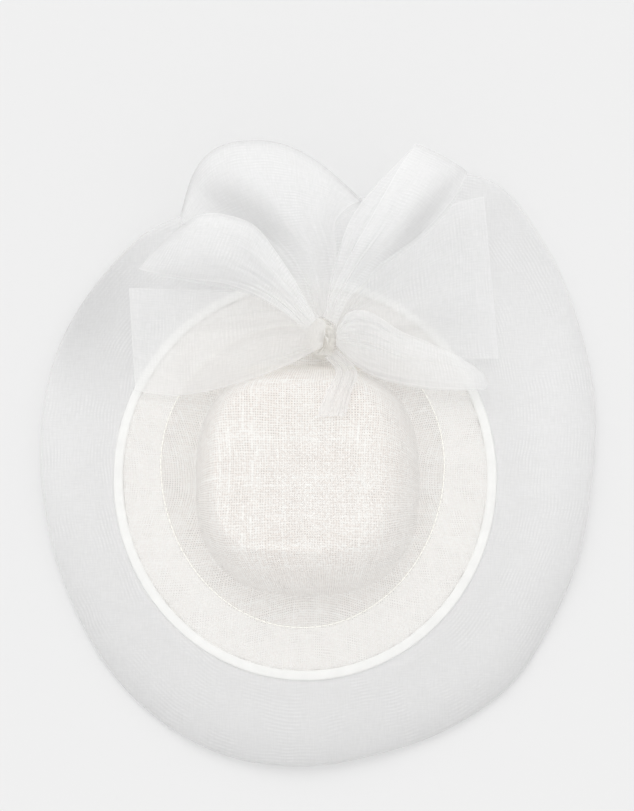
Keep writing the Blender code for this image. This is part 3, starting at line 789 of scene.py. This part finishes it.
loopUpperRight = {
    "rows": ((74, 0.33, 0.45, 54, 0.39, 0.30, 0.40, 0.05, 0.00, 0.04),
             (66, 0.69, 0.85, 45, 0.80, 0.50, 0.75, 0.15, 0.00, 0.12),
             (64, 1.02, 1.10, 45, 1.10, 0.65, 0.65, 0.15, 0.01, 0.05),
             (63, 1.23, 1.10, 48, 1.30, 0.65, 0.30, 0.06, 0.01, 0.00)),
    "level": 0.45, "loop": True, "width": 0.046, "pleats": 4, "dim": 0.02,
    "folds": (((0.078, 0.176), (0.035, 0.110), 0.0030, 0.006, 1),
              ((0.096, 0.178), (0.046, 0.114), -0.0034, 0.005, 1),
              ((0.062, 0.180), (0.024, 0.112), 0.0016, 0.005, 1)),
    "cut": (0.046, 0.225),
}
tailRight = {
    "rows": ((60, 0.45, -0.10, -15, 0.27, -0.05, 0, 0.05, 0.00, 0.00),
             (52, 0.84, -0.15, -10, 0.57, -0.12, 0, 0.08, 0.00, 0.00),
             (47, 1.18, -0.35, -7, 0.85, -0.20, 0, 0.05, 0.00, 0.00),
             (43, 1.35, -0.50, -5, 1.07, -0.32, 0, 0.02, 0.00, 0.00)),
    "level": -0.30, "loop": False, "width": 0.082, "pleats": 8, "dim": 0.12, "endHem": 0.011,
    "folds": (((0.098, 0.150), (0.030, 0.094), 0.0022, 0.006, 0),
              ((0.112, 0.118), (0.034, 0.086), 0.0016, 0.006, 0),
              ((0.108, 0.096), (0.036, 0.081), -0.0014, 0.006, 0)),
    "cut": (0.082, 0.102),
}
loopLowerRight = {
    "rows": ((38, 0.27, 0.30, -41, 0.32, 0.25, 0.20, 0.08, 0.00, 0.00),
             (2, 0.48, 0.30, -31, 0.55, 0.15, 0.30, 0.10, 0.00, 0.00),
             (-5, 0.70, 0.15, -23, 0.80, 0.05, 0.28, 0.08, 0.00, 0.00),
             (-10, 0.93, 0.00, -17, 1.03, -0.05, 0.18, 0.02, 0.03, 0.00)),
    "level": 0.45, "loop": True, "width": 0.034, "pleats": 4, "dim": 0.14,
    "folds": (((0.100, 0.074), (0.030, 0.092), 0.0020, 0.0035, 1),
              ((0.085, 0.060), (0.028, 0.072), 0.0014, 0.004, 1),
              ((0.030, 0.086), (0.042, 0.082), -0.0022, 0.006, 1)),
    "cut": (0.034, 0.190),
}
tailSmall = {
    "rows": ((-49, 0.32, 0.65, -72, 0.26, 0.65, 0, 0.02, 0.00, 0.00),
             (-66, 0.43, 0.90, -87, 0.40, 0.90, 0, 0.03, 0.00, 0.00),
             (-75, 0.55, 0.92, -94, 0.54, 0.92, 0, 0.02, 0.00, 0.00)),
    "level": 0.45, "loop": False, "width": 0.020, "pleats": 1, "dim": 0.1,
    "folds": (((0.014, 0.060), (0.014, 0.036), 0.0010, 0.003, 0),),
    "cut": (0.020, 0.048),
}


def ribbonGrid(ribbon):
    first = ribbon["rows"][0]
    bearing = math.radians((first[0] + first[3]) / 2)
    ahead = np.array([np.cos(bearing), np.sin(bearing), 0])
    aside = np.array([-ahead[1], ahead[0], 0])
    half = np.array(bow["knot"]) / 2 + hat["gap"] + hat["organza"] / 2
    lift = np.array([0, 0, ribbon["level"] * half[2]])
    start = np.sqrt(1 - ribbon["level"] ** 2) / np.linalg.norm(ahead / half)
    gathered = bow["gatherSpace"] / 2 + hat["organza"]
    root, spread = ahead * start + lift, aside * bow["gather"]
    rows = [[*(root + spread), *(root - spread), gathered, 0, 0, 0]]
    shares = np.array([bow["puff"], bow["rise"], bow["reach"], bow["reach"]])
    for r in ribbon["rows"]:
        edges = []
        for turn, reach, rise in (r[:3], r[3:6]):
            turn, reach = math.radians(turn), reach * bow["reach"]
            edges += [np.cos(turn) * reach, np.sin(turn) * reach, rise * bow["rise"]]
        rows.append([*edges, *(shares * r[6:])])
    rows = np.array(rows)
    if "start" in ribbon:
        rows[0, :6] = np.ravel(ribbon["start"])
    if ribbon["loop"]:
        bend = rows[-1, 6] / np.linalg.norm((rows[-1, :3] + rows[-1, 3:6]) / 2)
        out = np.linspace(0, 1 - bend, bow["leafRows"])
        turns = np.radians((-60, -30, 0, 30, 60))
        at = np.concatenate([out, 1 - bend + bend * np.cos(turns), out[::-1]])
        side = np.concatenate([-np.ones(bow["leafRows"]), np.sin(turns), np.ones(bow["leafRows"])])
    else:
        at = np.linspace(0, 1, bow["tailRows"])
        side = np.zeros(bow["tailRows"])
    values = eased(rows, at)
    share = np.linspace(0, 1, bow["across"])[None, :, None]
    left, right = values[:, None, :3], values[:, None, 3:6]
    outwards = (left + right) / 2 * [1, 1, 0]
    outwards /= np.linalg.norm(outwards, axis=-1, keepdims=True)
    square = np.stack([-outwards[..., 1], outwards[..., 0], outwards[..., 2]], -1)
    middleLead = 1 - np.abs(2 * share - 1) ** 2.5
    grid = left * (1 - share) + right * share
    grid = grid + outwards * values[:, None, 8:9] * middleLead
    grid = grid + upwards * values[:, None, 7:8] * middleLead
    grid = grid + upwards * (values[:, 6] * side)[:, None, None]
    grid = grid + square * values[:, None, 9:10] * (1 - share) * (side < 0)[:, None, None]
    return grid + bow["middle"], side


def thickSheet(grid, thickness):
    rows, columns = grid.shape[:2]
    offset = normalsOf(grid) * thickness / 2
    count = rows * columns
    faces = []
    for i in range(rows - 1):
        for j in range(columns - 1):
            a = i * columns + j
            face = (a, a + columns, a + columns + 1, a + 1)
            faces += [face, tuple(count + k for k in face[::-1])]
    return np.concatenate([(grid + offset).reshape(-1, 3), (grid - offset).reshape(-1, 3)]), faces


def restClear(grid, carriers):
    # lifts a ribbon a little at a time, its surroundings with it, until it clears the CAD nodes under it
    trees = []
    for carrier in carriers:
        corners = [v.co for v in carrier.data.vertices]
        trees.append(BVHTree.FromPolygons(corners, [tuple(p.vertices) for p in carrier.data.polygons]))
    rows, columns = grid.shape[:2]
    step = hat["gap"] / 2
    raised = np.zeros((rows, columns))
    for _ in range(400):
        now = grid + upwards * raised[..., None]
        points, faces = thickSheet(now + hatMiddle, hat["organza"] + 3 * hat["gap"])
        own = BVHTree.FromPolygons([tuple(p) for p in points], faces)
        hit = np.zeros((rows, columns), bool)
        for tree in trees:
            for face, other in own.overlap(tree):
                for index in faces[face]:
                    hit[divmod(index % (rows * columns), columns)] = True
        if not hit.any():
            break
        raised[hit] += step
        wide = np.pad(raised, 1, mode="edge") - 4 * step
        for near in (wide[:-2, 1:-1], wide[2:, 1:-1], wide[1:-1, :-2], wide[1:-1, 2:]):
            raised = np.maximum(raised, near)
    return now


def makeRibbon(name, node, ribbon, carriers, seed):
    coarse, side = ribbonGrid(ribbon)
    coarse = restClear(coarse, [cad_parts[n] for n in carriers])
    rows, columns = (len(coarse) - 1) * 8 + 1, 81
    grid = finer(coarse, rows, columns)
    leaf = eased(side[:, None], np.linspace(0, 1, rows))
    knotAway = reachOf(grid - bow["middle"])
    share = np.linspace(0, 1, columns)[None, :]
    # gathers run out from the knot and die away, each its own height
    still = 0 * knotAway
    places = np.stack([share * 0.2 + knotAway * 0.6, still, leaf * 0.05 + still], -1)
    wander = softNoise(places, 0.03, seed)
    pleat = np.sin(2 * np.pi * (ribbon["pleats"] * share + 1.2 * wander) + seed)
    pleat = pleat * np.exp(-np.maximum(knotAway - 0.016, 0) / 0.025)
    pleat = pleat * np.clip((knotAway - 0.008) / 0.008, 0, 1)
    breadth = np.linalg.norm(grid[:, -1] - grid[:, 0], axis=-1)[:, None] / ribbon["pleats"]
    bend = pleat * np.minimum(0.0015, 0.13 * breadth)
    valley = 0
    for start, end, height, width, where in ribbon["folds"]:
        away, along = nearLine(grid, start, end)
        ends = np.sin(np.pi * np.clip(along, 0.03, 0.97)) ** 0.4
        near = np.exp(-(away / width) ** 2) * ends * (np.clip(leaf, 0, 1) if where else 1)
        bend = bend + height * near
        valley = valley + near * max(0, -height) / 0.007
    loose = np.clip((knotAway - 0.014) / 0.02, 0, 1)
    wander = 0.0022 * softNoise(grid, 0.026, seed + 1) + 0.0005 * softNoise(grid, 0.009, seed + 2)
    bend = bend + loose * wander
    grid[..., 2] += bend
    # threads keep their number to the knot, so the cloth's own places are even across the full width
    middleRun = np.linalg.norm(np.diff(grid[:, columns // 2], axis=0), axis=-1)
    run = np.concatenate([[0], np.cumsum(middleRun)])[:, None] + 0 * share
    flat = np.stack([run, share * ribbon["width"] + 0 * run], -1)
    toEdge = np.minimum(share, 1 - share) * ribbon["width"] + 0 * run
    hem = np.clip(1 - toEdge / 0.0014, 0, 1) ** 0.5
    if "endHem" in ribbon:
        hem = np.maximum(hem, 0.18 * (run > run.max() - ribbon["endHem"]))
        hem = np.maximum(hem, np.clip(1 - (run.max() - run) / 0.001, 0, 1))
    # cloth that stands up or lies in a valley gets painted shade, grey mixed in with a little more cover
    steep = np.clip((1 - np.abs(normalsOf(grid)[..., 2]) - 0.12) / 0.70, 0, 1)
    steep = steep * np.clip((knotAway - 0.02) / 0.03, 0, 1)
    fold = np.clip(steep + valley + ribbon["dim"], 0, 1)
    piece = surfaceMesh(name, grid, flat, bowOrganza, {"hem": hem, "fold": fold, "ply": run})
    placed(piece, node)
    print(name, "made, area", round(areaOf(piece), 5))


hatNodes = ["sinamay_base", "brim_binding", "sheer_brim", "knot"]
ribbonPlan = (
    ("bow_tail_left", "tail_left", tailLeft, hatNodes, 1),
    ("bow_tail_right", "tail_right", tailRight, hatNodes, 2),
    ("bow_loop_upper_left", "loop_upper_left", loopUpperLeft, hatNodes + ["tail_left"], 3),
    ("bow_loop_left", "loop_left", loopLeft, hatNodes + ["tail_left", "loop_upper_left"], 4),
    ("bow_loop_upper_right", "loop_upper_right", loopUpperRight,
     hatNodes + ["tail_right", "loop_upper_left"], 5),
    ("bow_loop_lower_right", "loop_lower_right", loopLowerRight,
     hatNodes + ["tail_right", "loop_upper_right"], 6),
    ("bow_tail_small", "tail_small", tailSmall,
     hatNodes + ["tail_left", "tail_right", "loop_lower_right"], 7),
)
for plan in ribbonPlan:
    makeRibbon(*plan)

knot = {
    "rows": 150,
    "around": 180,
    # the crumpled middle shows between the left cloth's edge, as y and x, and the right one's x
    "left": ((-0.0137, -0.0094), (-0.0076, -0.0010), (0.0020, -0.0012), (0.0083, 0.0030), (0.0130, 0.0045)),
    "right": 0.0082,
    "sunk": 0.0010,      # how deep it lies under them
    "crease": 0.0026,    # how deep its creases are
}


def makeKnot():
    tilt = np.linspace(0.02, np.pi - 0.02, knot["rows"])[:, None]
    turn = allRound(knot["around"])[None, :]
    half = np.array(bow["knot"]) / 2
    ball = np.stack([np.sin(tilt) * np.cos(turn), np.sin(tilt) * np.sin(turn), np.cos(tilt) + 0 * turn], -1)
    place = ball * half
    x, y = place[..., 0], place[..., 1]
    # smooth cloth comes over it from both sides, and the crumpled strip wrapped round it shows between
    edge = np.interp(y, *zip(*knot["left"]))
    between = 1 / (1 + np.exp(-(x - edge) / 0.0004)) / (1 + np.exp(-(knot["right"] - x) / 0.0004))
    between = between * np.clip((y + 0.0105) / 0.001, 0, 1) * np.clip(ball[..., 2] * 4, 0, 1)
    twist = softNoise(ball * 0.01, 0.006, 21)
    crumple = np.sin(2 * np.pi * (x + 0.35 * y + 60 * np.maximum(0, -y) ** 2) / 0.0030 + 6.0 * twist)
    ridge = (1 - np.abs(crumple) ** 0.7) * between
    soft = 0.0006 * softNoise(ball * 0.01, 0.008, 22) + 0.0003 * np.sin(2 * np.pi * y / 0.0045 + 60 * x)
    inwards = 0.0004 + soft + knot["sunk"] * between + knot["crease"] * ridge
    grid = place - ball * inwards[..., None] + bow["middle"]
    flat = np.stack([turn + 0 * tilt, tilt + 0 * turn], -1) * 0.012
    # painted shade: grey mixed in over the smooth cloth, deepest in the crumpled strip's creases
    marks = {"hem": 0, "fold": 0.30 * (1 - between) + 0.5 * ridge, "ply": 0}
    piece = surfaceMesh("bow_knot", grid, flat, knotOrganza, marks, roundTrip=True)
    placed(piece, "knot")


makeKnot()
print("knot made")

# plain comb, hidden under the back of the crown

comb = {
    "length": 0.070,
    "depth": 0.005,
    "thick": 0.0018,
    "tooth": 0.034,
    "toothWidth": 0.0018,
    "teeth": 14,
}


def makeCombPiece():
    low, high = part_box("comb")
    middleZ = (low.z + high.z) / 2
    half = comb["thick"] / 2
    points, faces = [], []
    bar = high.y - comb["depth"] / 2
    ends = np.array([0, 0.0006, 0.002, 0.035, 0.068, 0.0694, 0.07])
    thick = np.array([0.3, 0.75, 1, 1, 1, 0.75, 0.3])
    rod(points, faces, [(low.x + x, bar, middleZ) for x in ends],
        [(comb["depth"] / 2 * t, half * (0.4 + 0.6 * t)) for t in thick], 16)
    pitch = (comb["length"] - comb["toothWidth"]) / (comb["teeth"] - 1)
    root = high.y - comb["depth"] * 0.7
    for i in range(comb["teeth"]):
        x = low.x + comb["toothWidth"] / 2 + i * pitch
        run = np.array([0, 0.25, 0.6, 0.9, 0.98, 1.0])
        width = np.array([1.0, 0.85, 0.75, 0.6, 0.4, 0.15]) * comb["toothWidth"] / 2
        spine = [(x, root + (low.y - root) * t, middleZ) for t in run]
        rod(points, faces, spine, [(w, min(half, w * 1.1)) for w in width], 10)
    placed(addPiece("hair_comb", points, faces, combPlastic), "comb")


makeCombPiece()
print("comb made")

# floor, light and camera

stage = {
    "floor": "D4D4D4",
    "glow": 0.14,                    # the backdrop is lit from below too, which keeps shadows off it
    "world": 0.982,                  # light from all round
    "key": 0.50,
    "keyFrom": (-0.15, 0.65, 1.0),   # from above and behind the bow, a little left
    "softness": 50.0,                # as wide as a large softbox, in degrees
    "distance": 3.0,
    "height": 0.4877,                # the picture's height on the object
    "target": (-0.0008, 0.0317, 0.02),
    "tilt": 10.0,                    # degrees from straight above, towards the front
}


def makeStage():
    # matt grey paper, with a fine tooth
    material, add = emptyMaterial("paper_floor")
    place = add("TexCoord", out="Object")
    tooth = add("TexNoise", {"Vector": place, "Scale": 700.0, "Detail": 2.0})
    bump = add("Bump", {"Strength": 0.04, "Distance": 0.0002, "Height": tooth})
    paper = add("BsdfPrincipled", {
        "Base Color": linear(stage["floor"]),
        "Roughness": 0.9,
        "Specular IOR Level": 0.1,
        "Normal": bump,
        "Emission Color": (1, 1, 1, 1),
        "Emission Strength": stage["glow"],
    })
    add("OutputMaterial", {"Surface": paper})
    corners = [(x, y, -0.0003) for x, y in ((-4, -4), (4, -4), (4, 4), (-4, 4))]
    floor = addPiece("floor", corners, [(0, 1, 2, 3)], material)

    world = bpy.data.worlds.new("studio")
    world.use_nodes = True
    sky = world.node_tree.nodes["Background"]
    sky.inputs["Color"].default_value = (1, 1, 1, 1)
    sky.inputs["Strength"].default_value = stage["world"]
    scene.world = world

    key = bpy.data.lights.new("softbox", "SUN")
    key.energy = stage["key"]
    key.angle = math.radians(stage["softness"])
    lamp = bpy.data.objects.new("softbox", key)
    lamp.rotation_euler = Vector(stage["keyFrom"]).to_track_quat("Z", "Y").to_euler()
    scene.collection.objects.link(lamp)

    lens = bpy.data.cameras.new("camera")
    lens.sensor_fit = "VERTICAL"
    lens.sensor_height = 36
    lens.lens = 36 * stage["distance"] / stage["height"]
    camera = bpy.data.objects.new("camera", lens)
    tilt = math.radians(stage["tilt"])
    away = Vector((0, -math.sin(tilt), math.cos(tilt)))
    camera.location = Vector(stage["target"]) + stage["distance"] * away
    camera.rotation_euler = (tilt, 0, 0)
    scene.collection.objects.link(camera)
    scene.camera = camera
    scene.view_settings.view_transform = "Standard"
    scene.view_settings.look = "None"
    scene.cycles.transparent_max_bounces = 32
    scene.cycles.diffuse_bounces = 10


makeStage()
print("stage set")
